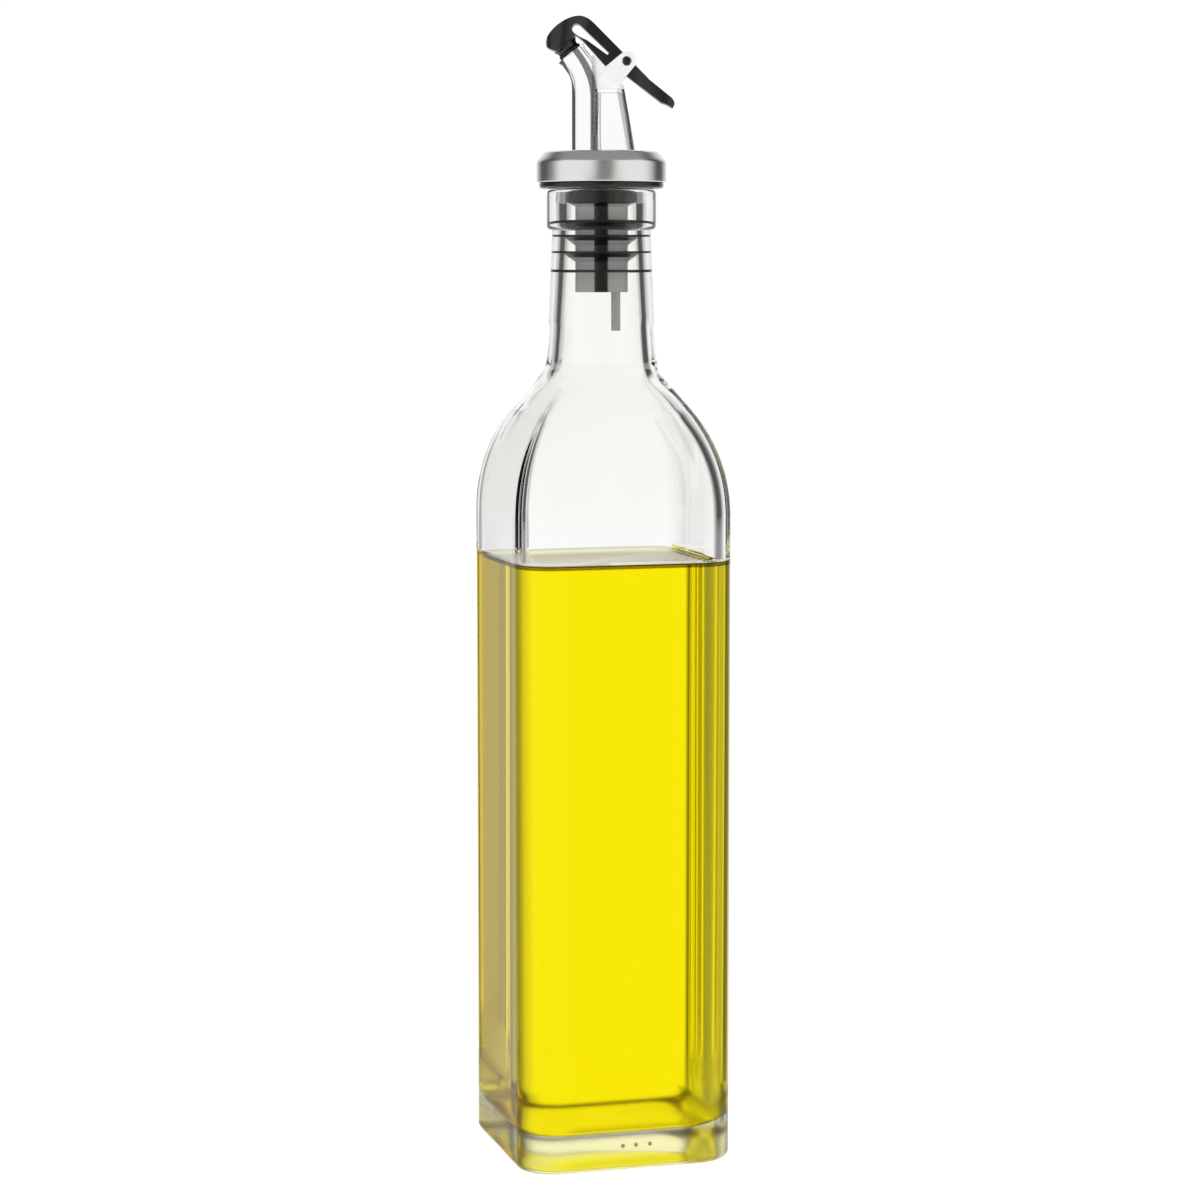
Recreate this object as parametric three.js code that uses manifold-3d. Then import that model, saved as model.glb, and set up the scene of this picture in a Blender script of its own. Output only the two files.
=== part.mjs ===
// Square glass oil bottle, part filled, with a press-in pourer that has a hinged flap.
// Millimetres, +Z up, origin at the centre of the base. The bottle's faces follow X and Y.
// The pourer is turned in the neck: its spout points along its own -X, its pivot along its own +Y.

import * as THREE from 'three';
import { mergeVertices } from 'three/addons/utils/BufferGeometryUtils.js';
import Module from 'manifold-3d';

const wasm = await Module();
wasm.setup();

// Gap between pieces that touch on the real object
const gap = 0.3;

// Glass body
const bodyHalf = 30;
const bodyCorner = 10;
const wall = 3.4;
const cornerSteps = 9;
const heelRadius = 2;
const restRingHalf = 23;
const pushUpHalf = 19;
const pushUpHeight = 1.4;
const floorHeight = 9.5;
const floorRise = 1.6;
const floorFillet = 5;
const floorMiddle = 1 / 3;
const floorSlope = 5 / 8;
const wallSteps = 3;

// Shoulder: a quarter ellipse that dies into the neck, square below and round above
const shoulderStart = 176;
const shoulderRise = 39.5;
const shoulderCentre = 7;
const shoulderFall = 2;
const shoulderSteps = 17;
const innerShoulderRise = 36.5;
const shoulderBlend = 6;
const innerBlend = 5.5;

// Neck and mouth
const neckFootHeight = 226;
const neckFootRadius = 14.3;
const neckTopHeight = 253.2;
const neckTopRadius = 13.3;
const boreFootRadius = 11.2;
const boreRadius = 9.8;
const mouthRadius = 14.85;
const mouthHeight = 264;
const mouthRound = 1;
const mouthFoot = { inset: 0.4, start: 0.3, end: 1.1 };

// Oil
const oilLevel = 164;

// Pourer, measured up from the mouth
const pourerTurn = THREE.MathUtils.degToRad(-16);
const roundSteps = 36;
const rimRadius = 16.9;
const rimFootRadius = 16.2;
const rimFootHeight = 0.7;
const rimTop = mouthHeight + 1.9;
const bandRadius = 17.6;
const bandShoulderHeight = mouthHeight + 7.9;
const bandTopRadius = 15.1;
const bandTop = mouthHeight + 10.4;
const bandWall = 0.8;
const bandFootEdge = { inset: 0.2, height: 0.3 };
const bandShoulderEdge = { inset: 0.25, height: 0.5 };
const bandTopEdge = { inset: 0.5, height: 0.4 };

// Stopper in the neck
const plugRadius = 7.2;
const plugFoot = 236.5;
const plugEdge = 0.5;
const plugShoulderHeight = 3.5;
const plugShoulderSlope = 1;
const finLips = [256.2, 251.9, 247.5];
const finDrop = 2.1;
const finThickness = 0.7;
const lowFinHeight = 241.8;
const channelRadius = 2.4;
const channelX = -4.05;
const breatherX = 3.9;
const breatherRadius = 1.25;
const breatherBore = 0.6;
const breatherFoot = 226.1;
const breatherTop = 246;

// Spout: a bent pouring tube and a hollow wedge beside it that carries the pivot fork
const spoutFoot = bandTop - 1.5;
const tubeRadius = 3.95;
const tubeBendHeight = 295.2;
const tubeBendLength = 4.4;
const mouthCentre = new THREE.Vector2(-8.18, 300.6);
const lean = THREE.MathUtils.degToRad(37.5);
const lipRadius = 4.3;
const lipHeight = 1.1;
const lipEdge = 0.3;
const wedgeTop = 300;
const wedgeFootRight = 9.4;
const wedgeTopRight = 4.7;
const wedgeFootDepth = 8.2;
const wedgeTopDepth = 4.1;
const wedgeSteps = 7;
const wedgeLeftBend = 290;
const wedgeLeftTop = -4.1;
const wedgeShaped = 288;
const wedgeTopPower = 0.5;
const ventTop = 291;
const ventWall = 1.3;
const ventLeft = -0.2;
const ventFill = 0.8;
const slopeStart = new THREE.Vector2(-5.05, 303);
const slopeEnd = new THREE.Vector2(1, 296.6);

// Fork, pin and flap
const pinX = 6.83;
const pinHeight = 298.4;
const pinRadius = 1.1;
const pinClearance = 0.15;
const pinHalfLength = 4.45;
const earInner = 2.6;
const earOuter = 4.2;
const earRadius = 2.5;
const earArcStart = THREE.MathUtils.degToRad(130);
const earArcEnd = THREE.MathUtils.degToRad(-42);
const flapHalfWidth = 2.3;
const capHalfWidth = 4.7;
const tailHalfWidth = 3.5;
const sealOutline = [[3.1, 0.3], [3.4, 0.7], [2.9, 1.3], [3.1, 2], [3.7, 2.55]];

function smoothMax(a, b, blend) {
  return (a + b + Math.sqrt((a - b) ** 2 + blend ** 2)) / 2;
}

// A quarter ellipse's half width at a height, falling away inside the neck above its top
function dome(z, half, rise) {
  const up = (z - shoulderStart) / rise;
  if (up > 1) {
    return shoulderCentre - shoulderFall * (z - shoulderStart - rise);
  }
  return shoulderCentre + (half - shoulderCentre) * Math.sqrt(1 - up ** 2);
}

function neckOutside(z) {
  return THREE.MathUtils.mapLinear(z, neckFootHeight, neckTopHeight, neckFootRadius, neckTopRadius);
}

function neckInside(z) {
  const slope = THREE.MathUtils.mapLinear(z, neckFootHeight, neckTopHeight, boreFootRadius, boreRadius);
  return Math.max(slope, boreRadius);
}

// Section of the glass at a height: half width and corner radius, which is the half width once round
function section(z, side, corner, rise, neck, blend) {
  if (z <= shoulderStart) {
    return { half: side, corner };
  }
  const up = Math.min(1, (z - shoulderStart) / rise);
  const half = smoothMax(dome(z, side, rise), neck(z), blend * up ** 2);
  return { half, corner: half * THREE.MathUtils.lerp(corner / side, 1, up ** 3) };
}

function outside(z) {
  return section(z, bodyHalf, bodyCorner, shoulderRise, neckOutside, shoulderBlend);
}

function inside(z) {
  return section(z, bodyHalf - wall, bodyCorner - wall, innerShoulderRise, neckInside, innerBlend);
}

// A ring of points round a square with round corners, anticlockwise from above
function squareRing({ half, corner, z }) {
  const points = [];
  for (let i = 0; i < 4 * cornerSteps; i++) {
    const angle = ((i + 0.5) / cornerSteps) * (Math.PI / 2);
    const x = Math.sign(Math.cos(angle)) * (half - corner) + corner * Math.cos(angle);
    const y = Math.sign(Math.sin(angle)) * (half - corner) + corner * Math.sin(angle);
    points.push(new THREE.Vector3(x, y, z));
  }
  return points;
}

// A ring between two X limits: an ellipse, squarer on its right half where the power is under 1
function ovalRing({ left, right, halfY, power, z }) {
  const points = [];
  for (let i = 0; i < roundSteps; i++) {
    const angle = ((i + 0.5) / roundSteps) * 2 * Math.PI;
    const squareness = Math.cos(angle) > 0 ? power : 1;
    const bulge = (value) => Math.sign(value) * Math.abs(value) ** squareness;
    const x = (left + right) / 2 + ((right - left) / 2) * bulge(Math.cos(angle));
    points.push(new THREE.Vector3(x, halfY * bulge(Math.sin(angle)), z));
  }
  return points;
}

// Closed skin over rings of equal length, with a fan at each end
function loft(rings) {
  const count = rings[0].length;
  const points = rings.flat();
  const faces = [];
  for (let k = 0; k < rings.length - 1; k++) {
    for (let i = 0; i < count; i++) {
      const next = (i + 1) % count;
      const a = k * count + i;
      const b = k * count + next;
      faces.push(a, b, b + count, a, b + count, a + count);
    }
  }
  const middle = (ring) => ring.reduce((sum, p) => sum.add(p), new THREE.Vector3()).divideScalar(count);
  const first = points.push(middle(rings[0])) - 1;
  const last = points.push(middle(rings.at(-1))) - 1;
  const top = (rings.length - 1) * count;
  for (let i = 0; i < count; i++) {
    const next = (i + 1) % count;
    faces.push(first, next, i, last, top + i, top + next);
  }
  const geometry = new THREE.BufferGeometry().setFromPoints(points);
  geometry.setIndex(faces);
  return geometry;
}

// Solid of revolution about Z from [radius, height] points that run up the outside
function turned(profile) {
  const points = profile.map(([radius, height]) => new THREE.Vector2(radius, height));
  return new THREE.LatheGeometry(points, roundSteps).rotateX(Math.PI / 2);
}

function rod(radius, bottom, top, x = 0) {
  return turned([[0, bottom], [radius, bottom], [radius, top], [0, top]]).translate(x, 0, 0);
}

// Solid of a side view, drawn in X and Z, from one depth to another along Y
function slab(shape, near, far) {
  const settings = { depth: far - near, bevelEnabled: false, curveSegments: 12 };
  return new THREE.ExtrudeGeometry(shape, settings).rotateX(Math.PI / 2).translate(0, far, 0);
}

function solid(geometry) {
  const bare = geometry.clone();
  bare.deleteAttribute('normal');
  bare.deleteAttribute('uv');
  const merged = mergeVertices(bare, 1e-4);
  return new wasm.Manifold(new wasm.Mesh({
    numProp: 3,
    vertProperties: new Float32Array(merged.attributes.position.array),
    triVerts: new Uint32Array(merged.index.array),
  }));
}

function geometryOf(manifold) {
  const { vertProperties, triVerts } = manifold.getMesh();
  const geometry = new THREE.BufferGeometry();
  geometry.setAttribute('position', new THREE.BufferAttribute(vertProperties, 3));
  geometry.setIndex(new THREE.BufferAttribute(triVerts, 1));
  return geometry;
}

function evenly(from, to, steps) {
  return Array.from({ length: steps + 1 }, (_, i) => THREE.MathUtils.lerp(from, to, i / steps));
}

// Quarter round in a profile, as offsets from its centre
function quarter(radius, fromAngle, steps = 4) {
  return evenly(fromAngle, fromAngle + Math.PI / 2, steps).map((angle) => ({
    out: radius * Math.cos(angle),
    up: radius * Math.sin(angle),
  }));
}

// Heel of the bottle, or the round at the foot of what fills it
function footRounds(half, corner, bottom, radius) {
  return quarter(radius, -Math.PI / 2).map(({ out, up }) => ({
    half: half - radius + out,
    corner: Math.max(1, corner - radius + out),
    z: bottom + radius + up,
  }));
}

function cavityFoot(clearance) {
  const half = bodyHalf - wall - clearance;
  const corner = bodyCorner - wall - clearance;
  const bottom = floorHeight + clearance;
  const middle = { half: half * floorMiddle, corner: corner * floorMiddle, z: bottom + floorRise };
  const slope = { half: half * floorSlope, corner: corner * floorSlope, z: bottom + floorRise / 2 };
  return [middle, slope, ...footRounds(half, corner, bottom, floorFillet)];
}

function makeBottle() {
  const shoulder = evenly(shoulderStart, neckFootHeight, shoulderSteps);
  const neck = evenly(neckFootHeight, neckTopHeight, wallSteps).slice(1);
  const round = (radius, z) => ({ half: radius, corner: radius, z });
  const lip = quarter(mouthRound, 0, 3).map(({ out, up }) =>
    round(mouthRadius - mouthRound + out, mouthHeight - mouthRound + up));
  const innerLip = quarter(mouthRound, Math.PI / 2, 3).map(({ out, up }) =>
    round(boreRadius + mouthRound + out, mouthHeight - mouthRound + up));
  const stations = [
    { half: pushUpHalf, corner: bodyCorner - 3, z: pushUpHeight },
    { half: restRingHalf, corner: bodyCorner - 3, z: 0 },
    ...footRounds(bodyHalf, bodyCorner, 0, heelRadius),
    ...[...shoulder, ...neck].map((z) => ({ ...outside(z), z })),
    round(mouthRadius - mouthFoot.inset, neckTopHeight + mouthFoot.start),
    round(mouthRadius, neckTopHeight + mouthFoot.end),
    ...lip,
    ...innerLip,
    ...[...neck].reverse().map((z) => ({ ...inside(z), z })),
    ...[...shoulder].reverse().map((z) => ({ ...inside(z), z })),
    ...cavityFoot(0).reverse(),
  ];
  return loft(stations.map(squareRing));
}

function makeOil() {
  const half = bodyHalf - wall - gap;
  const corner = bodyCorner - wall - gap;
  return loft([...cavityFoot(gap), { half, corner, z: oilLevel }].map(squareRing));
}

// Flared fins that stop short of the bore, read from the top of the stopper down
function makeStopper() {
  const shoulderFoot = mouthHeight - plugShoulderHeight;
  const shoulderRadius = boreRadius - gap;
  const reach = (z) => neckInside(z) - gap;
  const profile = [[0, plugFoot], [plugRadius - plugEdge, plugFoot], [plugRadius, plugFoot + plugEdge]];
  const low = lowFinHeight;
  const lowTop = low + finThickness;
  profile.push([plugRadius, low], [reach(low), low], [reach(low), lowTop], [plugRadius, lowTop]);
  for (const lip of [...finLips].reverse()) {
    profile.push([plugRadius, lip - finDrop - finThickness], [reach(lip), lip - finThickness]);
    profile.push([reach(lip), lip], [plugRadius, lip - finDrop]);
  }
  profile.push([plugRadius, shoulderFoot - plugShoulderSlope], [shoulderRadius, shoulderFoot]);
  profile.push([shoulderRadius, mouthHeight], [0, mouthHeight]);
  const channel = solid(rod(channelRadius, plugFoot - 1, mouthHeight + 1, channelX));
  const socket = solid(rod(breatherRadius + gap, plugFoot - 1, breatherTop + gap, breatherX));
  return geometryOf(solid(turned(profile)).subtract(channel).subtract(socket));
}

function makeBreather() {
  const profile = [
    [breatherBore, breatherFoot],
    [breatherRadius, breatherFoot],
    [breatherRadius, breatherTop],
    [breatherBore, breatherTop],
    [breatherBore, breatherFoot],
  ];
  return turned(profile).translate(breatherX, 0, 0);
}

// Black flange that sits on the glass mouth, showing only as a rim under the steel band
function makeFlange() {
  const bottom = mouthHeight + gap;
  const coreRadius = bandRadius - bandWall - gap;
  const top = spoutFoot - gap;
  const profile = [
    [0, bottom],
    [rimFootRadius, bottom],
    [rimRadius, bottom + rimFootHeight],
    [rimRadius, rimTop],
    [coreRadius, rimTop],
    [coreRadius, bandShoulderHeight - bandWall],
    [bandTopRadius - bandWall - gap, top],
    [0, top],
  ];
  const channel = solid(rod(channelRadius, bottom - 1, top + 1, channelX));
  return geometryOf(solid(turned(profile)).subtract(channel));
}

// Spun steel cup, open below, with a hole in its top for the spout
function makeBand() {
  const bottom = rimTop + gap / 2;
  const outer = [
    [0, bottom],
    [bandRadius - bandFootEdge.inset, bottom],
    [bandRadius, bottom + bandFootEdge.height],
    [bandRadius, bandShoulderHeight - bandShoulderEdge.height],
    [bandRadius - bandShoulderEdge.inset, bandShoulderHeight],
    [bandTopRadius + bandTopEdge.inset, bandTop - bandTopEdge.height],
    [bandTopRadius, bandTop],
    [0, bandTop],
  ];
  const hollow = [
    [0, bottom - 1],
    [bandRadius - bandWall, bottom - 1],
    [bandRadius - bandWall, bandShoulderHeight - bandShoulderEdge.height],
    [bandTopRadius - bandWall, bandTop - bandWall],
    [0, bandTop - bandWall],
  ];
  const { left, right } = wedgeAt(spoutFoot);
  const hole = solid(rod((right - left) / 2 + gap, bottom, bandTop + 1, (left + right) / 2));
  return geometryOf(solid(turned(outer)).subtract(solid(turned(hollow))).subtract(hole));
}

// Middle line of the pouring tube: straight up, then leaning over to the mouth
function tubePath(bottom, overrun) {
  const axis = new THREE.Vector3(-Math.sin(lean), 0, Math.cos(lean));
  const bend = new THREE.Vector3(channelX, 0, tubeBendHeight);
  const mouth = new THREE.Vector3(mouthCentre.x, 0, mouthCentre.y);
  const bendFoot = new THREE.Vector3(channelX, 0, tubeBendHeight - tubeBendLength);
  const bendTop = bend.clone().addScaledVector(axis, tubeBendLength * 0.7);
  const path = new THREE.CurvePath();
  path.add(new THREE.LineCurve3(new THREE.Vector3(channelX, 0, bottom), bendFoot));
  path.add(new THREE.QuadraticBezierCurve3(bendFoot, bend, bendTop));
  path.add(new THREE.LineCurve3(bendTop, mouth.addScaledVector(axis, overrun)));
  return path;
}

function tube(radius, bottom, overrun) {
  const circle = new THREE.Shape().absarc(0, 0, radius, 0, 2 * Math.PI);
  const settings = { steps: 14, curveSegments: 9, extrudePath: tubePath(bottom, overrun) };
  return new THREE.ExtrudeGeometry(circle, settings);
}

// Section of the wedge at a height: round at its foot, a narrow oblong beside the tube higher up
function wedgeAt(z) {
  const right = THREE.MathUtils.mapLinear(z, spoutFoot, wedgeTop, wedgeFootRight, wedgeTopRight);
  const above = Math.max(0, (z - wedgeLeftBend) / (wedgeTop - wedgeLeftBend));
  const left = THREE.MathUtils.lerp(channelX - tubeRadius, wedgeLeftTop, above);
  const below = THREE.MathUtils.clamp((wedgeShaped - z) / (wedgeShaped - bandTop), 0, 1);
  const halfY = THREE.MathUtils.lerp(wedgeTopDepth, wedgeFootDepth, below ** 2);
  return { left, right, halfY, power: THREE.MathUtils.lerp(wedgeTopPower, 1, below), z };
}

function makeWedge() {
  const heights = [spoutFoot, ...evenly(bandTop, wedgeShaped, wedgeSteps), wedgeLeftBend, wedgeTop];
  return solid(loft(heights.map((z) => ovalRing(wedgeAt(z)))));
}

function makeVent() {
  const rings = evenly(spoutFoot - 1, ventTop, wedgeSteps).map((z) => {
    const { right, halfY } = wedgeAt(Math.max(z, spoutFoot));
    const depth = (halfY - ventWall) * ventFill;
    return ovalRing({ left: ventLeft, right: right - ventWall, halfY: depth, power: 1, z });
  });
  return solid(loft(rings));
}

// Everything above the sloping top of the spout, which runs from the tube's upper edge down to the fork
function aboveSlope() {
  const along = slopeEnd.clone().sub(slopeStart).normalize();
  const across = new THREE.Vector2(-along.y, along.x);
  const low = slopeStart.clone().addScaledVector(along, 20);
  const high = slopeStart.clone().addScaledVector(along, -12);
  const raised = (point) => point.clone().addScaledVector(across, 20);
  return solid(slab(new THREE.Shape([high, low, raised(low), raised(high)]), -12, 12));
}

function earShape() {
  const outline = new THREE.Shape();
  outline.moveTo(1, 296.8);
  outline.absarc(pinX, pinHeight, earRadius, earArcStart, earArcEnd, true);
  outline.lineTo(6.56, 294.2);
  outline.quadraticCurveTo(5.2, 293.1, 4.3, 291.4);
  outline.lineTo(-0.6, 294.2);
  return outline;
}

function pinRod(radius, half) {
  return rod(radius, -half, half).rotateX(Math.PI / 2).translate(pinX, 0, pinHeight);
}

function spoutLip() {
  const foot = tubeRadius - lipEdge;
  const profile = [[0, -lipHeight], [foot, -lipHeight], [lipRadius, -lipEdge], [lipRadius, 0], [0, 0]];
  return turned(profile).rotateY(-lean).translate(mouthCentre.x, 0, mouthCentre.y);
}

function makeSpout() {
  const wedge = makeWedge().subtract(aboveSlope());
  const ears = solid(slab(earShape(), earInner, earOuter)).add(solid(slab(earShape(), -earOuter, -earInner)));
  const outer = solid(tube(tubeRadius, spoutFoot, 0)).add(solid(spoutLip())).add(wedge).add(ears);
  const channel = solid(tube(channelRadius, spoutFoot - 1, 1));
  const pinHole = solid(pinRod(pinRadius + pinClearance, earOuter + 1));
  return geometryOf(outer.subtract(channel).subtract(makeVent()).subtract(pinHole));
}

// Side view of the flap: cap over the mouth, two arms, hub and thumb tail
function flapShape() {
  const outline = new THREE.Shape();
  outline.moveTo(-12.4, 301.1);
  outline.quadraticCurveTo(-13.6, 301.4, -14.6, 302.1);
  outline.quadraticCurveTo(-15.4, 303, -14.6, 305);
  outline.bezierCurveTo(-13, 307.6, -9.2, 310.2, -6.2, 310.5);
  outline.quadraticCurveTo(-4, 310.7, -1.8, 308.4);
  outline.lineTo(9.2, 297.4);
  outline.lineTo(13.04, 293.4);
  outline.lineTo(18.9, 288.7);
  outline.quadraticCurveTo(20.5, 287.3, 19.2, 285.8);
  outline.quadraticCurveTo(18.2, 286.7, 16.1, 287.3);
  outline.lineTo(6.7, 294.4);
  outline.quadraticCurveTo(3.6, 295.2, 1, 297.3);
  outline.lineTo(-3.9, 302.6);
  outline.quadraticCurveTo(-4.9, 303.9, -6.8, 305.3);
  return outline;
}

// Opening between the flap's two arms
function slotShape() {
  const slot = new THREE.Shape();
  slot.moveTo(1.6, 300.1);
  slot.lineTo(2.1, 300.6);
  slot.lineTo(-5.7, 308);
  slot.quadraticCurveTo(-7.3, 309, -8, 307);
  slot.quadraticCurveTo(-7.8, 305.9, -6.4, 305.2);
  slot.quadraticCurveTo(-5.2, 304.5, -4, 304.1);
  return slot;
}

// Plan view of the flap: wide cap and tail, narrow between the ears of the fork
function flapPlan() {
  const plan = new THREE.Shape();
  const capCentre = -10.3;
  plan.absarc(capCentre, 0, capHalfWidth, Math.PI / 2, (3 * Math.PI) / 2, false);
  plan.bezierCurveTo(-7, -capHalfWidth, -6, -flapHalfWidth, -3, -flapHalfWidth);
  plan.lineTo(9.4, -flapHalfWidth);
  plan.quadraticCurveTo(13, -tailHalfWidth, 17, -tailHalfWidth);
  plan.quadraticCurveTo(20.5, -tailHalfWidth, 20.5, 0);
  plan.quadraticCurveTo(20.5, tailHalfWidth, 17, tailHalfWidth);
  plan.quadraticCurveTo(13, tailHalfWidth, 9.4, flapHalfWidth);
  plan.lineTo(-3, flapHalfWidth);
  plan.bezierCurveTo(-6, flapHalfWidth, -7, capHalfWidth, capCentre, capHalfWidth);
  return plan;
}

function makeFlap() {
  const across = capHalfWidth + 1;
  const side = solid(slab(flapShape(), -across, across)).subtract(solid(slab(slotShape(), -across, across)));
  const planHeight = { depth: 40, bevelEnabled: false, curveSegments: 10 };
  const plan = solid(new THREE.ExtrudeGeometry(flapPlan(), planHeight).translate(0, 0, 280));
  const hole = solid(pinRod(pinRadius + pinClearance, capHalfWidth));
  return geometryOf(side.intersect(plan).subtract(hole));
}

// Waisted rubber seal between the cap and the spout's mouth, from [radius, height] points over the mouth
function makeSeal() {
  const profile = [[0, sealOutline[0][1]], ...sealOutline, [0, sealOutline.at(-1)[1]]];
  return turned(profile).rotateY(-lean).translate(mouthCentre.x, 0, mouthCentre.y);
}

const finishes = {
  glass: { color: 0xeef3f1, roughness: 0.05, metalness: 0, transparent: true, opacity: 0.35 },
  oil: { color: 0xf2e205, roughness: 0.1, metalness: 0 },
  greyPlastic: { color: 0x8f9092, roughness: 0.35, metalness: 0 },
  blackPlastic: { color: 0x141414, roughness: 0.3, metalness: 0 },
  clearPlastic: { color: 0xe9ebec, roughness: 0.1, metalness: 0, transparent: true, opacity: 0.5 },
  steel: { color: 0xb9babb, roughness: 0.35, metalness: 1 },
  rubber: { color: 0x0d0d0d, roughness: 0.25, metalness: 0 },
};

function piece(name, geometry, finish) {
  const mesh = new THREE.Mesh(geometry, new THREE.MeshStandardMaterial(finishes[finish]));
  mesh.name = name;
  return mesh;
}

const dispenser = new THREE.Group();
dispenser.add(piece('bottle', makeBottle(), 'glass'));
dispenser.add(piece('oil', makeOil(), 'oil'));

const pourer = new THREE.Group();
pourer.rotation.z = pourerTurn;
pourer.add(piece('stopper', makeStopper(), 'greyPlastic'));
pourer.add(piece('breather_tube', makeBreather(), 'greyPlastic'));
pourer.add(piece('flange', makeFlange(), 'blackPlastic'));
pourer.add(piece('collar_band', makeBand(), 'steel'));
pourer.add(piece('spout', makeSpout(), 'clearPlastic'));
pourer.add(piece('pivot_pin', pinRod(pinRadius, pinHalfLength), 'blackPlastic'));
pourer.add(piece('flap', makeFlap(), 'blackPlastic'));
pourer.add(piece('flap_seal', makeSeal(), 'rubber'));
dispenser.add(pourer);

export default dispenser;
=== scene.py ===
import math

import bpy
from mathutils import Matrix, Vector


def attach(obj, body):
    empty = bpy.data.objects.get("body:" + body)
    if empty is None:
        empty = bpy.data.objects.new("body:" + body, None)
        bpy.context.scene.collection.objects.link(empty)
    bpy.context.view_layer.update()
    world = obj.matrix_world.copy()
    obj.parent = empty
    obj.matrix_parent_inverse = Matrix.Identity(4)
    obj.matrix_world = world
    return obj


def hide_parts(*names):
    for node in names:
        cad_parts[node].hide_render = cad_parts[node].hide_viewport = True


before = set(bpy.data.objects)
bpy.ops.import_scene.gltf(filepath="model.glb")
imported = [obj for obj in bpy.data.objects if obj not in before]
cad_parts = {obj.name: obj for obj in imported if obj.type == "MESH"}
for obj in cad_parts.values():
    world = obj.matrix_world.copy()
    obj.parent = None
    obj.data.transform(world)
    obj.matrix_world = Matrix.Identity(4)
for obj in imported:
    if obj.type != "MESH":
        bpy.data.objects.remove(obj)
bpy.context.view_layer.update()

# A square glass bottle of olive oil with a press-in pourer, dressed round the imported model.
# Lengths are in metres, and mm turns a figure in millimetres into them.
# The pourer's shapes are given in millimetres.

mm = 0.001
pourerTurn = math.radians(-16)  # how far the pourer is turned in the neck


def grey(value):
    return (value, value, value, 1)


# Modelling steps that several pieces share

def deselectAll():
    if bpy.context.object and bpy.context.object.mode != "OBJECT":
        bpy.ops.object.mode_set(mode="OBJECT")
    bpy.ops.object.select_all(action="DESELECT")


def pick(*pieces):  # selects these alone, with the first one active
    deselectAll()
    for piece in pieces:
        piece.select_set(True)
    bpy.context.view_layer.objects.active = pieces[0]


def choose(piece, kind, test):  # goes to edit mode with the parts selected that pass a test
    pick(piece)
    bpy.ops.object.mode_set(mode="EDIT")
    bpy.ops.mesh.select_mode(type=kind)
    bpy.ops.mesh.select_all(action="DESELECT")
    bpy.ops.object.mode_set(mode="OBJECT")
    mesh = piece.data
    for part in {"VERT": mesh.vertices, "EDGE": mesh.edges, "FACE": mesh.polygons}[kind]:
        part.select = test(part)
    bpy.ops.object.mode_set(mode="EDIT")


def joined(*pieces):
    pick(*pieces)
    bpy.ops.object.join()
    return pieces[0]


def applyPlace(piece, turn=(0, 0, 0), place=(0, 0, 0)):  # turns and moves a piece within its mesh
    pick(piece)
    piece.rotation_euler = turn
    piece.location = place
    bpy.ops.object.transform_apply(location=True, rotation=True, scale=True)
    return piece


def startRing(name, radius, z, sides, filled=True, at=(0, 0)):
    deselectAll()
    fill = "NGON" if filled else "NOTHING"
    bpy.ops.mesh.primitive_circle_add(vertices=sides, radius=radius, fill_type=fill, location=(*at, z))
    piece = bpy.context.object
    piece.name = name
    bpy.ops.object.transform_apply(location=True, rotation=True, scale=True)
    bpy.ops.object.mode_set(mode="EDIT")
    bpy.ops.mesh.select_mode(type="FACE" if filled else "EDGE")
    bpy.ops.mesh.select_all(action="SELECT")
    return piece


def liftRing(step, grow=(1, 1, 1), centre=(0, 0, 0)):
    bpy.ops.mesh.extrude_region_move(TRANSFORM_OT_translate={"value": step})
    if grow != (1, 1, 1):
        bpy.ops.transform.resize(value=grow, center_override=centre)


def closeUp(piece, merge=1e-6):
    bpy.ops.mesh.select_all(action="SELECT")
    bpy.ops.mesh.remove_doubles(threshold=merge)
    bpy.ops.mesh.normals_make_consistent(inside=False)
    bpy.ops.object.mode_set(mode="OBJECT")
    return piece


def applyModifier(piece, kind, **settings):
    pick(piece)
    step = piece.modifiers.new(kind.lower(), kind)
    for name, value in settings.items():
        setattr(step, name, value)
    bpy.ops.object.modifier_apply(modifier=step.name)
    return piece


def softenEdges(piece, width, segments=3, angle=30):
    return applyModifier(piece, "BEVEL", width=width, segments=segments, limit_method="ANGLE",
                         angle_limit=math.radians(angle), harden_normals=False)


def smoothShading(piece, angle):
    pick(piece)
    bpy.ops.object.shade_smooth_by_angle(angle=math.radians(angle))
    return piece


def dress(piece, material, body, replaced):
    if material:
        piece.data.materials.clear()
        piece.data.materials.append(material)
    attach(piece, body)
    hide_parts(*replaced)
    return piece


# Sums and curves that several pieces share

def between(value, start, end, atStart, atEnd):
    return atStart + (atEnd - atStart) * (value - start) / (end - start)


def spread(start, end, steps):
    return [between(i, 0, steps, start, end) for i in range(1, steps + 1)]


def arcSteps(radius, steps, start, end):  # offsets along an arc, angles in degrees from the outward direction
    angles = [math.radians(between(i, 0, steps, start, end)) for i in range(steps + 1)]
    return [(radius * math.cos(a), radius * math.sin(a)) for a in angles]


def arcPoints(centre, radius, start, end, steps=14):
    return [(centre[0] + x, centre[1] + z) for x, z in arcSteps(radius, steps, start, end)]


def curve(steps, *points):  # points after the first one along a curve with one or two handles
    rows = [Vector(p) for p in points]
    result = []
    for i in range(1, steps + 1):
        t, row = i / steps, rows
        while len(row) > 1:
            row = [a * (1 - t) + b * t for a, b in zip(row, row[1:])]
        result.append(tuple(row[0]))
    return result


def trace(entries, points=()):  # an entry is a point, or a curve's number of steps, its handles and its end
    points = list(points)
    for entry in entries:
        if isinstance(entry[1], tuple):
            points += curve(entry[0], points[-1], *entry[1:])
        else:
            points.append(entry)
    return points


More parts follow.
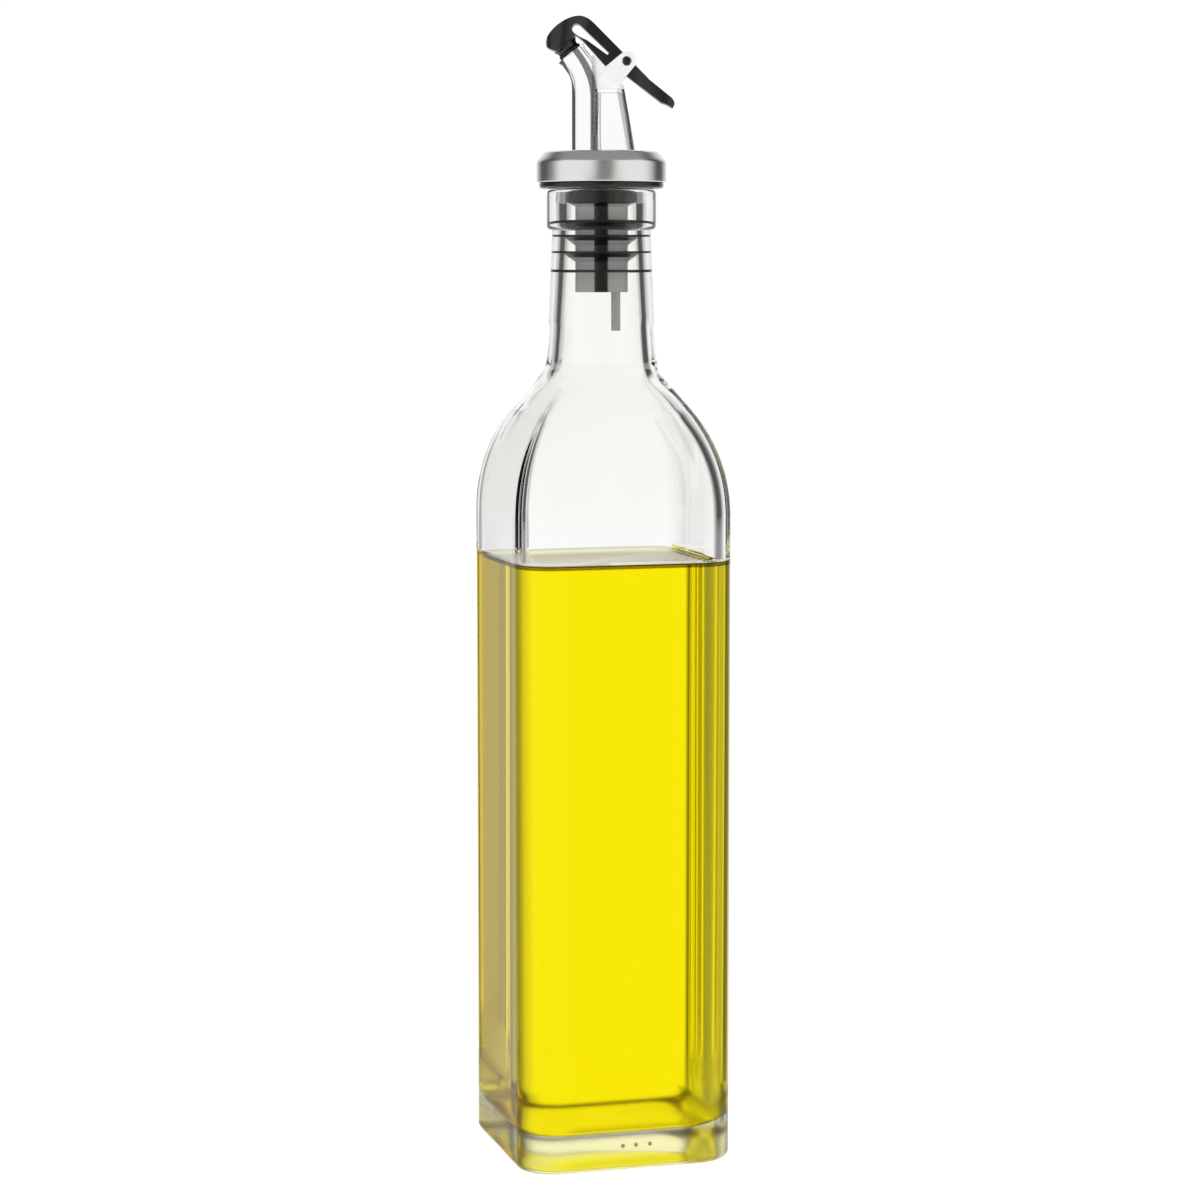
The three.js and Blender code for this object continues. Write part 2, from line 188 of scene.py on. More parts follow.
def rounded(profile, radius, segments=4):  # a side profile with its inner corners rounded off
    points = [Vector(p) for p in profile]
    result = [profile[0]]
    for before, corner, after in zip(points, points[1:], points[2:]):
        reach = min(radius, (corner - before).length * 0.45, (after - corner).length * 0.45)
        start = corner + (before - corner).normalized() * reach
        end = corner + (after - corner).normalized() * reach
        for i in range(segments + 1):
            t = i / segments
            result.append(tuple(start * (1 - t) ** 2 + corner * 2 * t * (1 - t) + end * t ** 2))
    return result + [profile[-1]]


# Materials

class Wire:  # a socket's output, with sums on it adding Math nodes
    def __init__(self, recipe, socket):
        self.recipe = recipe
        self.socket = socket

    def sum(self, operation, first, second=0.0):
        return self.recipe.add("ShaderNodeMath", {"operation": operation}, {0: first, 1: second})

    def __add__(self, other):
        return self.sum("ADD", self, other)

    def __radd__(self, other):
        return self.sum("ADD", other, self)

    def __sub__(self, other):
        return self.sum("SUBTRACT", self, other)

    def __rsub__(self, other):
        return self.sum("SUBTRACT", other, self)

    def __mul__(self, other):
        return self.sum("MULTIPLY", self, other)

    def __rmul__(self, other):
        return self.sum("MULTIPLY", other, self)

    def __truediv__(self, other):
        return self.sum("DIVIDE", self, other)

    def __rtruediv__(self, other):
        return self.sum("DIVIDE", other, self)

    def __abs__(self):
        return self.sum("ABSOLUTE", self)

    def output(self, name):
        return Wire(self.recipe, self.socket.node.outputs[name])


class Recipe:  # a node tree that is filled from empty
    def __init__(self, owner):
        self.owner = owner
        owner.use_nodes = True
        self.tree = owner.node_tree
        self.tree.nodes.clear()

    def add(self, kind, settings=None, sockets=None):
        node = self.tree.nodes.new(kind)
        for name, value in (settings or {}).items():
            if name == "stops":
                self.setStops(node.color_ramp, value)
            else:
                setattr(node, name, value)
        for name, value in (sockets or {}).items():
            if isinstance(value, Wire):
                self.tree.links.new(value.socket, node.inputs[name])
            else:
                node.inputs[name].default_value = value
        return Wire(self, node.outputs[0]) if node.outputs else None

    def setStops(self, ramp, stops):
        while len(ramp.elements) < len(stops):
            ramp.elements.new(0.5)
        for element, (place, colour) in zip(ramp.elements, stops):
            element.position = place
            element.color = colour

    def place(self):
        return self.add("ShaderNodeTexCoord").output("Object")

    def pourerPlace(self):  # the same, with the pourer's turn in the neck taken out
        return self.add("ShaderNodeVectorRotate", {"rotation_type": "Z_AXIS"},
                        {"Vector": self.place(), "Angle": -pourerTurn})

    def part(self, vector, axis):
        return self.add("ShaderNodeSeparateXYZ", None, {0: vector}).output(axis)

    def vectors(self, operation, first, second=(0, 0, 0)):
        return self.add("ShaderNodeVectorMath", {"operation": operation}, {0: first, 1: second})

    def mixColours(self, mask, first, second):
        return self.add("ShaderNodeMix", {"data_type": "RGBA"}, {0: mask, 6: first, 7: second}).output(2)

    def fade(self, value, start, end, atStart=0.0, atEnd=1.0, kind="SMOOTHSTEP"):  # runs between two values
        return self.add("ShaderNodeMapRange", {"interpolation_type": kind},
                        {0: value, 1: start, 2: end, 3: atStart, 4: atEnd})

    def larger(self, first, second):
        return self.add("ShaderNodeMath", {"operation": "MAXIMUM"}, {0: first, 1: second})

    def bump(self, height, strength, distance):
        return self.add("ShaderNodeBump", None,
                        {"Height": height, "Strength": strength, "Distance": distance})

    def shader(self, sockets):
        return self.add("ShaderNodeBsdfPrincipled", None, sockets)

    def finish(self, shader, volume=None):
        sockets = {"Surface": shader, "Volume": volume} if volume else {"Surface": shader}
        self.add("ShaderNodeOutputMaterial", None, sockets)
        return self.owner


def newMaterial(name):
    return Recipe(bpy.data.materials.new(name))


# Glass bottle: a rounded square body that turns round into the neck

glassLook = {
    "ior": 1.52,
    "tint": (0.985, 0.992, 0.988, 1),
    "emptyTint": (0.975, 0.969, 0.95, 1),   # a little warmer above the oil
    "emptyFade": 20 * mm,
    "shine": 0.15,                          # what the dry glass keeps of its head-on reflection
    "wetIor": 1.034,                        # where oil wets it: glass against oil
    "wetShine": 1.0,
    "paintedBaseLight": (0.985, 0.95, 0.5, 1),      # painted light: yellow from the oil, caught in the thick base
    "baseTop": (7.5 * mm, 11.5 * mm),
    "baseBlur": (16 * mm, 29 * mm, 0.17),   # the foot of the pressed glass is a little uneven
    "ringEdgeShade": (0.03, 0.03, 0.03, 1),      # painted shade on the sides of the mouth ring, where they are seen edge-on
    "ringFoot": (252.8 * mm, 253.6 * mm),
    "ringFacing": (0.64, 0.74),
    "marks": ((-2.65, 6.95), (1.05, 7.0), (5.0, 7.0)),  # dots low on the front, in millimetres
    "markRadius": (0.45 * mm, 0.75 * mm),
    "markTint": (0.12, 0.11, 0.03, 1),
}

bottleShape = {
    "half": 29.95 * mm,
    "corner": 10 * mm,
    "wall": 3.4 * mm,
    "cornerSegments": 16,
    "sideSegments": 12,
    "heel": 2 * mm,
    "heelSteps": 6,
    "restRing": 23 * mm,
    "pushUp": (19 * mm, 1.4 * mm),
    "pushUpCorner": 0.6,        # as a share of the body's corner
    "floor": 9.5 * mm,
    "floorRise": 1.6 * mm,
    "floorStart": (0.33, 0.25),                 # the crown's share of the half width, and its corner's
    "floorDome": ((0.5, 0.62), (0.12, 0.76)),   # further out, as shares of the rise and of the half width
    "floorFillet": 5 * mm,
    "filletSteps": 18,
    "bodySteps": 12,
    "dryBodySteps": 2,
    "shoulderStart": 176 * mm,
    "shoulderCentre": 7 * mm,   # half width at which the dome's curve ends
    "shoulderFall": 2,
    "outerRise": 39.5 * mm,
    "innerRise": 36.5 * mm,
    "outerBlend": 6 * mm,
    "innerBlend": 5.5 * mm,
    "shoulderSteps": 60,
    "neckSteps": 30,
    "neckEase": (204 * mm, 228 * mm, 14),       # from, to, and how often it is smoothed
    "neckFoot": 226 * mm,
    "neckTop": 253.2 * mm,
    "neckRadii": (14.3 * mm, 13.3 * mm),
    "boreRadii": (11.2 * mm, 9.8 * mm),
    "mouthRadius": 14.85 * mm,
    "mouthFoot": ((0.2 * mm, -0.6 * mm), (0.5 * mm, -0.25 * mm), (1.1 * mm, 0.0)),  # up, and out
    "mouthSide": 4 * mm,        # how far below the top the ring's straight side has its last row
    "mouthTop": 264 * mm,
    "mouthRound": 1 * mm,
    "mouthSteps": 5,
}

oilShape = {
    "into": 0.06 * mm,          # how far it reaches into the glass, so that no air gap shows
    "level": 164 * mm,
    "sideSteps": 10,
    "meniscus": 1.6 * mm,
    "meniscusSteps": 6,
    "wetTop": 165.2 * mm,       # how far up the glass is taken as wetted
}


def smoothMax(a, b, blend):
    return (a + b + math.sqrt((a - b) ** 2 + blend ** 2)) / 2


def wallAt(z, inside):  # half width of the glass at a height, and how far its section has turned round
    s = bottleShape
    half = s["half"] - (s["wall"] if inside else 0)
    corner = s["corner"] - (s["wall"] if inside else 0)
    if z <= s["shoulderStart"]:
        return half, 0.0
    rise = s["innerRise"] if inside else s["outerRise"]
    radii = s["boreRadii"] if inside else s["neckRadii"]
    up = (z - s["shoulderStart"]) / rise
    if up > 1:
        dome = s["shoulderCentre"] - s["shoulderFall"] * (z - s["shoulderStart"] - rise)
    else:
        dome = s["shoulderCentre"] + (half - s["shoulderCentre"]) * math.sqrt(1 - up * up)
    neck = max(between(z, s["neckFoot"], s["neckTop"], *radii), min(radii))
    blend = (s["innerBlend"] if inside else s["outerBlend"]) * min(1, up) ** 2
    width = smoothMax(dome, neck, blend)
    flatness = corner / half
    fraction = flatness + (1 - flatness) * min(1, up) ** 3
    diagonal = math.sqrt(2)
    full = diagonal - (diagonal - 1) * flatness
    ratio = diagonal - (diagonal - 1) * fraction
    return width, min(1, max(0, (full - ratio) / (full - 1)))


def edgeLength(piece, edge):
    start, end = (piece.data.vertices[i].co for i in edge.vertices)
    return (start - end).length


def startSquare(name, half, corner, z):  # a square with rounded corners, its sides cut into short edges
    s = bottleShape
    deselectAll()
    bpy.ops.mesh.primitive_plane_add(size=2 * half, location=(0, 0, z))
    piece = bpy.context.object
    piece.name = name
    bpy.ops.object.transform_apply(location=True, rotation=True, scale=True)
    bpy.ops.object.mode_set(mode="EDIT")
    bpy.ops.mesh.select_all(action="SELECT")
    bpy.ops.mesh.bevel(offset=corner, offset_type="OFFSET", segments=s["cornerSegments"], affect="VERTICES")
    straight = 2 * (half - corner)
    choose(piece, "EDGE", lambda edge: edgeLength(piece, edge) > straight * 0.9)
    bpy.ops.mesh.subdivide(number_cuts=s["sideSegments"] - 1)
    bpy.ops.mesh.select_mode(type="FACE")
    bpy.ops.mesh.select_all(action="SELECT")
    return piece


def squareWidth():
    piece = bpy.context.object
    piece.update_from_editmode()
    return max(vertex.co.x for vertex in piece.data.vertices if vertex.select)


def raiseWalls(stations, z, half, turned):  # a station is a height, a half width and how round it is
    for nextZ, nextHalf, nextTurned in stations:
        liftRing((0, 0, nextZ - z))
        share = (nextTurned - turned) / (1 - turned) if turned < 1 else 0
        widened = 1.0
        if share > 0:
            bpy.ops.transform.tosphere(value=share)
            widened = squareWidth() / half
        grow = nextHalf / (half * widened)
        bpy.ops.transform.resize(value=(grow, grow, 1), center_override=(0, 0, nextZ))
        z, half, turned = nextZ, nextHalf, nextTurned


def shellStations(heights, inside):
    return [(z, *wallAt(z, inside)) for z in heights]


def neckHeights():
    s = bottleShape
    shoulder = spread(s["shoulderStart"], s["neckFoot"], s["shoulderSteps"])
    return shoulder + spread(s["neckFoot"], s["neckTop"], s["neckSteps"])


def makeOuterGlass():
    s = bottleShape
    heel, radius, top, rim = s["heel"], s["mouthRadius"], s["mouthTop"], s["mouthRound"]
    pushUp, low = s["pushUp"]
    piece = startSquare("bottleGlass", pushUp, s["corner"] * s["pushUpCorner"], low)
    rest = [(0.0, s["restRing"], 0.0)]
    rest += [(heel + up, s["half"] - heel + out, 0.0) for out, up in arcSteps(heel, s["heelSteps"], -90, 0)]
    body = shellStations(spread(heel, s["shoulderStart"], s["bodySteps"]) + neckHeights(), False)
    ring = [(s["neckTop"] + up, radius + out, 1.0) for up, out in s["mouthFoot"]]
    ring.append((top - s["mouthSide"], radius, 1.0))
    ring += [(top - rim + up, radius - rim + out, 1.0) for out, up in arcSteps(rim, s["mouthSteps"], 0, 90)]
    raiseWalls(rest + body + ring, low, pushUp, 0.0)
    return piece


def raiseCavity(name, above, grow=0.0):  # the hollow from its floor up, grown a little for the oil
    s = bottleShape
    half = s["half"] - s["wall"] + grow
    floor, fillet = s["floor"] - grow, s["floorFillet"]
    low = s["floor"] + s["floorRise"] - grow
    share, cornerShare = s["floorStart"]
    start = half * share
    foot = [(floor + s["floorRise"] * up, half * out, 0.0) for up, out in s["floorDome"]]
    foot += [(floor + fillet + up, half - fillet + out, 0.0)
             for out, up in arcSteps(fillet, s["filletSteps"], -90, 0)]
    piece = startSquare(name, start, start * cornerShare, low)
    raiseWalls(foot + above, low, start, 0.0)
    return piece


def makeInnerGlass():
    s, wetTop = bottleShape, oilShape["wetTop"]
    top, rim, bore = s["mouthTop"], s["mouthRound"], s["boreRadii"][1]
    heights = spread(s["floor"] + s["floorFillet"], wetTop, s["bodySteps"])
    heights += spread(wetTop, s["shoulderStart"], s["dryBodySteps"]) + neckHeights()
    lip = [(top - rim + up, bore + rim - out, 1.0) for out, up in arcSteps(rim, s["mouthSteps"], 0, 90)]
    return raiseCavity("bottleInside", shellStations(heights, True) + lip[:-1])


def openTop(piece):
    bpy.ops.object.mode_set(mode="OBJECT")
    top = max(vertex.co.z for vertex in piece.data.vertices)
    choose(piece, "FACE", lambda face: face.center.z > top - 1e-6 and face.normal.z > 0.9)
    bpy.ops.mesh.delete(type="FACE")


def easeNeckFoot(piece):  # lets the shoulder flow into the neck
    foot, top, times = bottleShape["neckEase"]
    choose(piece, "VERT", lambda vertex: foot < vertex.co.z < top)
    bpy.ops.mesh.vertices_smooth(factor=0.5, repeat=times, xaxis=True, yaxis=True, zaxis=False)
    bpy.ops.object.mode_set(mode="OBJECT")


def markMask(recipe, place):
    mask = 0.0
    for along, up in glassLook["marks"]:
        centre = (along * mm, -bottleShape["half"], up * mm)
        away = recipe.vectors("DISTANCE", place, centre).output("Value")
        mask = recipe.larger(mask, recipe.fade(away, *glassLook["markRadius"], 1.0, 0.0))
    return mask


def glassMaterial(name, ior, shine):
    look, level = glassLook, oilShape["level"]
    recipe = newMaterial(name)
    place = recipe.place()
    height = recipe.part(place, "Z")
    # painted light: below baseTop the glass takes the yellow of light from the oil
    colour = recipe.mixColours(recipe.fade(height, *look["baseTop"]), look["paintedBaseLight"], look["tint"])
    empty = recipe.fade(height, level, level + look["emptyFade"])
    colour = recipe.mixColours(empty, colour, look["emptyTint"])
    # painted shade: the mouth ring darkens where it is seen edge-on
    facing = recipe.add("ShaderNodeLayerWeight", None, {"Blend": 0.5}).output("Facing")
    side = recipe.fade(facing, *look["ringFacing"]) * recipe.fade(height, *look["ringFoot"])
    colour = recipe.mixColours(side, colour, look["ringEdgeShade"])
    colour = recipe.mixColours(markMask(recipe, place), colour, look["markTint"])
    blurFrom, blurTo, blur = look["baseBlur"]
    return recipe.finish(recipe.shader({
        "Base Color": colour, "Roughness": recipe.fade(height, blurFrom, blurTo, blur, 0.0), "IOR": ior,
        "Transmission Weight": 1.0, "Specular Tint": grey(shine),
    }))


def makeBottle():
    dry = glassMaterial("clearGlass", glassLook["ior"], glassLook["shine"])
    wet = glassMaterial("wetGlass", glassLook["wetIor"], glassLook["wetShine"])
    outer, inner = makeOuterGlass(), makeInnerGlass()
    for shell in (outer, inner):
        pick(shell)
        openTop(shell)
        easeNeckFoot(shell)
        shell.data.materials.append(dry)
    inner.data.materials.append(wet)
    for face in inner.data.polygons:
        face.material_index = int(face.center.z < oilShape["wetTop"])
    piece = joined(outer, inner)
    bpy.ops.object.mode_set(mode="EDIT")
    bpy.ops.mesh.select_mode(type="EDGE")
    bpy.ops.mesh.select_all(action="DESELECT")
    bpy.ops.mesh.select_non_manifold(extend=False, use_wire=False, use_boundary=True,
                                     use_multi_face=False, use_non_contiguous=False, use_verts=False)
    bpy.ops.mesh.bridge_edge_loops()
    return smoothShading(closeUp(piece), 60)


bottle = makeBottle()
dress(bottle, None, "bottle", ["bottle"])
print("bottle", len(bottle.data.polygons), "faces")


# Oil: reaches a little into the glass, with a meniscus round its surface

oilLook = {
    "ior": 1.0,             # the sides lie in the glass, which does the bending
    "skinIor": 1.2,         # the flat top bends light less than oil does, so that the yellow below it shows
    "skinFacing": (0.3, 0.6),
    "colour": (0.998, 0.97, 0.0, 1),
    "density": 115.0,
    "shine": 0.0,
    "line": (0.09, 0.06, 0.01, 1),  # painted shade: the dark line round the surface, where the oil climbs the glass
    "meniscusShadeHeight": (-0.8 * mm, -0.55 * mm, 0.35 * mm, 0.6 * mm),
    "meniscusShadeRear": (10 * mm, 24 * mm, 0.3),
}


def makeOil():
    s, o = bottleShape, oilShape
    rise, half = o["meniscus"], s["half"] - s["wall"] + o["into"]
    sides = [(z, half, 0.0) for z in spread(s["floor"] + s["floorFillet"], o["level"], o["sideSteps"])]
    climb = [(o["level"] + rise - up, half - rise + out, 0.0)
             for out, up in arcSteps(rise, o["meniscusSteps"], 0, 90)]
    return smoothShading(closeUp(raiseCavity("oilFill", sides + climb, o["into"])), 60)


def oilMaterial():
    look = oilLook
    recipe = newMaterial("oliveOil")
    place = recipe.place()
    over = recipe.part(place, "Z") - oilShape["level"]
    foot, full, fall, top = look["meniscusShadeHeight"]
    near, rear, faint = look["meniscusShadeRear"]
    # painted shade round the meniscus, fainter towards the rear
    line = recipe.fade(over, foot, full) * recipe.fade(over, fall, top, 1.0, 0.0)
    line = line * recipe.fade(recipe.part(place, "Y"), near, rear, 1.0, faint)
    sockets = {
        "Base Color": recipe.mixColours(line, (1, 1, 1, 1), look["line"]), "Roughness": 0.0,
        "Transmission Weight": 1.0, "Specular Tint": grey(look["shine"]),
    }
    body = recipe.shader({**sockets, "IOR": look["ior"]})
    skin = recipe.shader({**sockets, "IOR": look["skinIor"]})
    up = recipe.part(recipe.add("ShaderNodeTexCoord").output("Normal"), "Z")
    top = recipe.fade(up, *look["skinFacing"])
    both = recipe.add("ShaderNodeMixShader", None, {0: top, 1: body, 2: skin})
    volume = recipe.add("ShaderNodeVolumeAbsorption", None,
                        {"Color": look["colour"], "Density": look["density"]})
    return recipe.finish(both, volume)


oil = makeOil()
dress(oil, oilMaterial(), "bottle", ["oil"])
print("oil", len(oil.data.polygons), "faces")


# Pourer: every piece is modelled in line with X, and then turned in the neck

pourerShape = {
    "channel": -4.05,               # the middle of the spout's tube
    "bandTop": 274.4,
    "lean": math.radians(37.5),
    "spoutMouth": (-8.18, 300.6),
    "pin": (6.83, 298.4),
}

grain = {
    "scale": 2500.0,
    "detail": 3.0,
    "depth": 0.25,
    "distance": 0.00005,
    "spread": 0.12,     # between the shiniest and the dullest spot
}


def turnWithPourer(piece):
    return applyPlace(piece, (0, 0, pourerTurn))


def placeOnMouth(piece):
    x, z = pourerShape["spoutMouth"]
    return applyPlace(piece, (0, -pourerShape["lean"], 0), (x * mm, 0, z * mm))


def turnedPiece(name, profile, shape, hollow=False):  # radius and height, turned round an upright line
    profile = [(radius * mm, z * mm) for radius, z in rounded(profile, shape["rounding"])]
    if hollow:
        profile.append(profile[0])
    x = shape.get("aside", 0) * mm
    piece = startRing(name, *profile[0], shape["sides"], not hollow, (x, 0))
    for (radius, z), (nextRadius, nextZ) in zip(profile, profile[1:]):
        grow = nextRadius / radius
        liftRing((0, 0, nextZ - z), (grow, grow, 1), (x, 0, nextZ))
    return smoothShading(closeUp(piece), shape["smooth"])


def plasticMaterial(name, look, grained=False):
    recipe = newMaterial(name)
    sockets = {"Base Color": look["colour"], "Roughness": look["roughness"]}
    if grained:
        noise = recipe.add("ShaderNodeTexNoise", None,
                           {"Vector": recipe.place(), "Scale": grain["scale"], "Detail": grain["detail"]})
        sockets["Normal"] = recipe.bump(noise, grain["depth"], grain["distance"])
        sockets["Roughness"] = noise * grain["spread"] + (look["roughness"] - grain["spread"] / 2)
    return recipe.finish(recipe.shader(sockets))


# Stopper with its fins, and the breather tube under it

stopperShape = {
    "radius": 7.2,
    "middle": 0.02,     # where the foot and the top close up
    "foot": 236.5,
    "top": 264.0,
    "shoulder": 260.5,
    "shoulderSlope": 1,
    "shoulderRadius": 9.5,
    "fins": (247.5, 251.9, 256.2),
    "finDrop": 2.1,
    "finThickness": 0.7,
    "finTip": 0.75,     # how thick a fin is at its tip, as a share
    "finRoot": 0.1,
    "finPress": 0.08,   # how far the fins press into the glass
    "lowFin": (241.8, 242.5),
    "rounding": 0.08,
    "sides": 96,
    "smooth": 35,
}

stopperLook = {
    "body": (0.6, 0.6, 0.605, 1),
    # painted shade for the slot down the middle and the fin tips
    "paintedDark": (0.006, 0.006, 0.006, 1),
    "slot": (1.55 * mm, 1.9 * mm),      # half width of the painted shade down the middle, where a slot runs
    "finTipShade": (8.6 * mm, 8.9 * mm),       # painted shade on the fins from here outwards, towards the glass
    "slotAside": -0.1 * mm,
    "roughness": 0.3,
}


def finReach(z):
    return wallAt(z * mm, True)[0] / mm + stopperShape["finPress"]


def makeStopper():
    s = stopperShape
    core, thick = s["radius"], s["finThickness"]
    low, lowTop = s["lowFin"]
    profile = [(s["middle"], s["foot"]), (core, s["foot"])]
    profile += [(core, low), (finReach(low), low), (finReach(low), lowTop), (core, lowTop)]
    for lip in s["fins"]:
        root = lip - s["finDrop"]
        profile += [(core, root - thick), (finReach(lip), lip - thick * s["finTip"]), (finReach(lip), lip)]
        profile += [(core, root + s["finRoot"])]
    wide = s["shoulderRadius"]
    profile += [(core, s["shoulder"] - s["shoulderSlope"]), (wide, s["shoulder"])]
    profile += [(wide, s["top"]), (s["middle"], s["top"])]
    return turnedPiece("stopperBody", profile, s)


def stopperMaterial():
    look = stopperLook
    recipe = newMaterial("smokyPlastic")
    turned = recipe.pourerPlace()
    aside = abs(recipe.part(turned, "X") - look["slotAside"])
    radius = recipe.vectors("LENGTH", recipe.vectors("MULTIPLY", turned, (1, 1, 0))).output("Value")
    # painted shade: a dark slot down the middle and dark fin tips towards the glass
    slot = recipe.fade(aside, *look["slot"], 1.0, 0.0, "LINEAR")
    finTipShade = recipe.fade(radius, *look["finTipShade"], 0.0, 1.0, "LINEAR")
    colour = recipe.mixColours(recipe.larger(slot, finTipShade), look["body"], look["paintedDark"])
    return recipe.finish(recipe.shader({"Base Color": colour, "Roughness": look["roughness"]}))


breather = {
    "profile": ((0.6, 226.1), (1.25, 226.1), (1.25, 246), (0.6, 246)),
    "aside": 3.9,
    "rounding": 0.15,
    "sides": 32,
    "smooth": 40,
    "colour": (0.6, 0.6, 0.605, 1),
    "roughness": 0.35,
}


def makeBreather():
    return turnedPiece("breatherTube", breather["profile"], breather, True)


dress(turnWithPourer(makeStopper()), stopperMaterial(), "bottle", ["stopper"])
smokyPlastic = plasticMaterial("smokyTube", breather)
dress(turnWithPourer(makeBreather()), smokyPlastic, "bottle", ["breather_tube"])
print("stopper done")


# Collar: a black rim under a brushed steel band

flange = {
    "profile": ((0.05, 264.3), (15.9, 264.3), (16.6, 264.5), (16.88, 265), (16.88, 265.85), (16.2, 265.9),
                (16.2, 271), (14, 272.6), (0.05, 272.6)),
    "rounding": 0.25,
    "sides": 96,
    "smooth": 40,
    "colour": (0.01, 0.01, 0.01, 1),
    "roughness": 0.18,
}

band = {
    "profile": ((16.8, 266.05), (17.4, 266.05), (17.59, 266.3), (17.59, 271.4), (17.3, 271.95),
                (15.6, 274.05), (14.9, 274.39), (9.35, 274.39), (9.35, 273.65), (14.6, 273.6), (16.8, 271.3)),
    "rounding": 0.3,
    "sides": 128,
    "smooth": 35,
    "colour": (0.8, 0.8, 0.79, 1),
    "roughness": 0.24,
    "spread": 0.16,             # between the shiniest and the dullest streak
    "stretch": (0.03, 0.03, 1), # streaks that change with height and hardly along the band
    "streakScale": 9000.0,
    "streakDetail": 2.0,
    "streakDepth": 0.25,
    "streakDistance": 0.00002,
}


def makeFlange():
    return turnedPiece("flangeBody", flange["profile"], flange)


def makeBand():
    return turnedPiece("collarBand", band["profile"], band, True)


def steelMaterial():
    look = band
    recipe = newMaterial("brushedSteel")
    stretched = recipe.vectors("MULTIPLY", recipe.place(), look["stretch"])
    streaks = recipe.add("ShaderNodeTexNoise", None, {
        "Vector": stretched, "Scale": look["streakScale"], "Detail": look["streakDetail"],
    })
    return recipe.finish(recipe.shader({
        "Base Color": look["colour"], "Metallic": 1.0,
        "Roughness": streaks * look["spread"] + (look["roughness"] - look["spread"] / 2),
        "Normal": recipe.bump(streaks, look["streakDepth"], look["streakDistance"]),
    }))


blackRim = plasticMaterial("blackRim", flange)
dress(turnWithPourer(makeFlange()), blackRim, "bottle", ["flange"])
dress(turnWithPourer(makeBand()), steelMaterial(), "bottle", ["collar_band"])
print("collar done")


# Spout: a bent tube joined to a hollow wedge, with a milky fork for the flap

spoutShape = {
    "foot": 272.95,
    "footSteps": 6,
    "tube": 3.93,
    "bore": 3.05,
    "tubeSides": 64,
    "bend": 295.2,
    "bendLength": 4.4,
    "bendOut": 0.7,             # how much of that length it takes past the bend
    "bendSteps": 18,
    "lip": (4.28, 1.1),         # radius and height of the rim round the mouth
    "lipStart": 0.05,           # how far the tube narrows under the lip
    "lipSwell": (0.35, 0.1),    # near its top, what the lip still lacks
    "lipRound": 0.12,
    "wedgeLeft": -2.6,
    "wedgeRight": (9.38, 4.68),
    "wedgeDepth": (8.15, 3.9),
    "wedgeTop": 300.0,
    "wedgeSteps": 16,
    "wedgeSides": 72,
    "wedgeGap": 0.02,           # between the clear wedge and its milky top
    "wall": 1.0,
    "ventFoot": 273.6,
    "ventTop": 290.1,
    "ventSoften": 0.4,
    "milkyFoot": 291.0,
    "milkySoften": 0.25,
    "shaped": 288.0,            # from here up the wedge keeps its depth
    "slope": ((-5.05, 303.0), (1.0, 296.6)),
}

spoutLook = {
    "ior": 1.15,
    "roughness": 0.02,
    "clear": (0.985, 0.985, 0.98, 1),
    # the greys and the dark below are painted shade of the walls
    "tubeShadeGrey": (0.2, 0.2, 0.205, 1),
    "wedgeShadeGrey": (0.55, 0.55, 0.56, 1),
    "paintedDark": (0.01, 0.01, 0.01, 1),
    "bow": (288.5 * mm, 31.0),                  # where the tube starts to lean, and how fast it does
    "band": (-1.95 * mm, 0.85 * mm, 1.2 * mm),  # painted grey shade of the inner wall: middle, and half widths in its soft edge
    # painted dark shade along the tube's left wall
    "leftWallShade": (-7.2 * mm, -6.95 * mm),
    "rightWallShade": (0.75 * mm, 1.0 * mm, 2.1 * mm, 2.3 * mm),  # painted shade, dark then grey, inwards from the right edge
    # the painted shade lies on the front half only
    "frontHalf": (0.0, 0.2 * mm),
}

milkyGlowLook = {  # painted light: it glows a little, standing in for the light behind it that comes through
    "Base Color": (0.97, 0.97, 0.96, 1),
    "Roughness": 0.35,
    "Emission Color": (1, 1, 0.99, 1),
    "Emission Strength": 0.2,
}


def tubeLine():  # stations up the tube's middle line, as place and lean, then the mouth and the way it points
    s, p = spoutShape, pourerShape
    x, mouth = p["channel"], Vector(p["spoutMouth"])
    axis = Vector((-math.sin(p["lean"]), math.cos(p["lean"])))
    bend = Vector((x, s["bend"]))
    foot, top = Vector((x, s["bend"] - s["bendLength"])), bend + axis * s["bendLength"] * s["bendOut"]
    steps = s["footSteps"]
    line = [(Vector((x, between(i, 0, steps, s["foot"], foot.y))), 0.0) for i in range(steps)]
    for i in range(s["bendSteps"] + 1):
        t = i / s["bendSteps"]
        point = foot * (1 - t) ** 2 + bend * 2 * t * (1 - t) + top * t ** 2
        ahead = (bend - foot) * (1 - t) + (top - bend) * t
        line.append((point, math.atan2(-ahead.x, ahead.y)))
    return line, mouth, axis


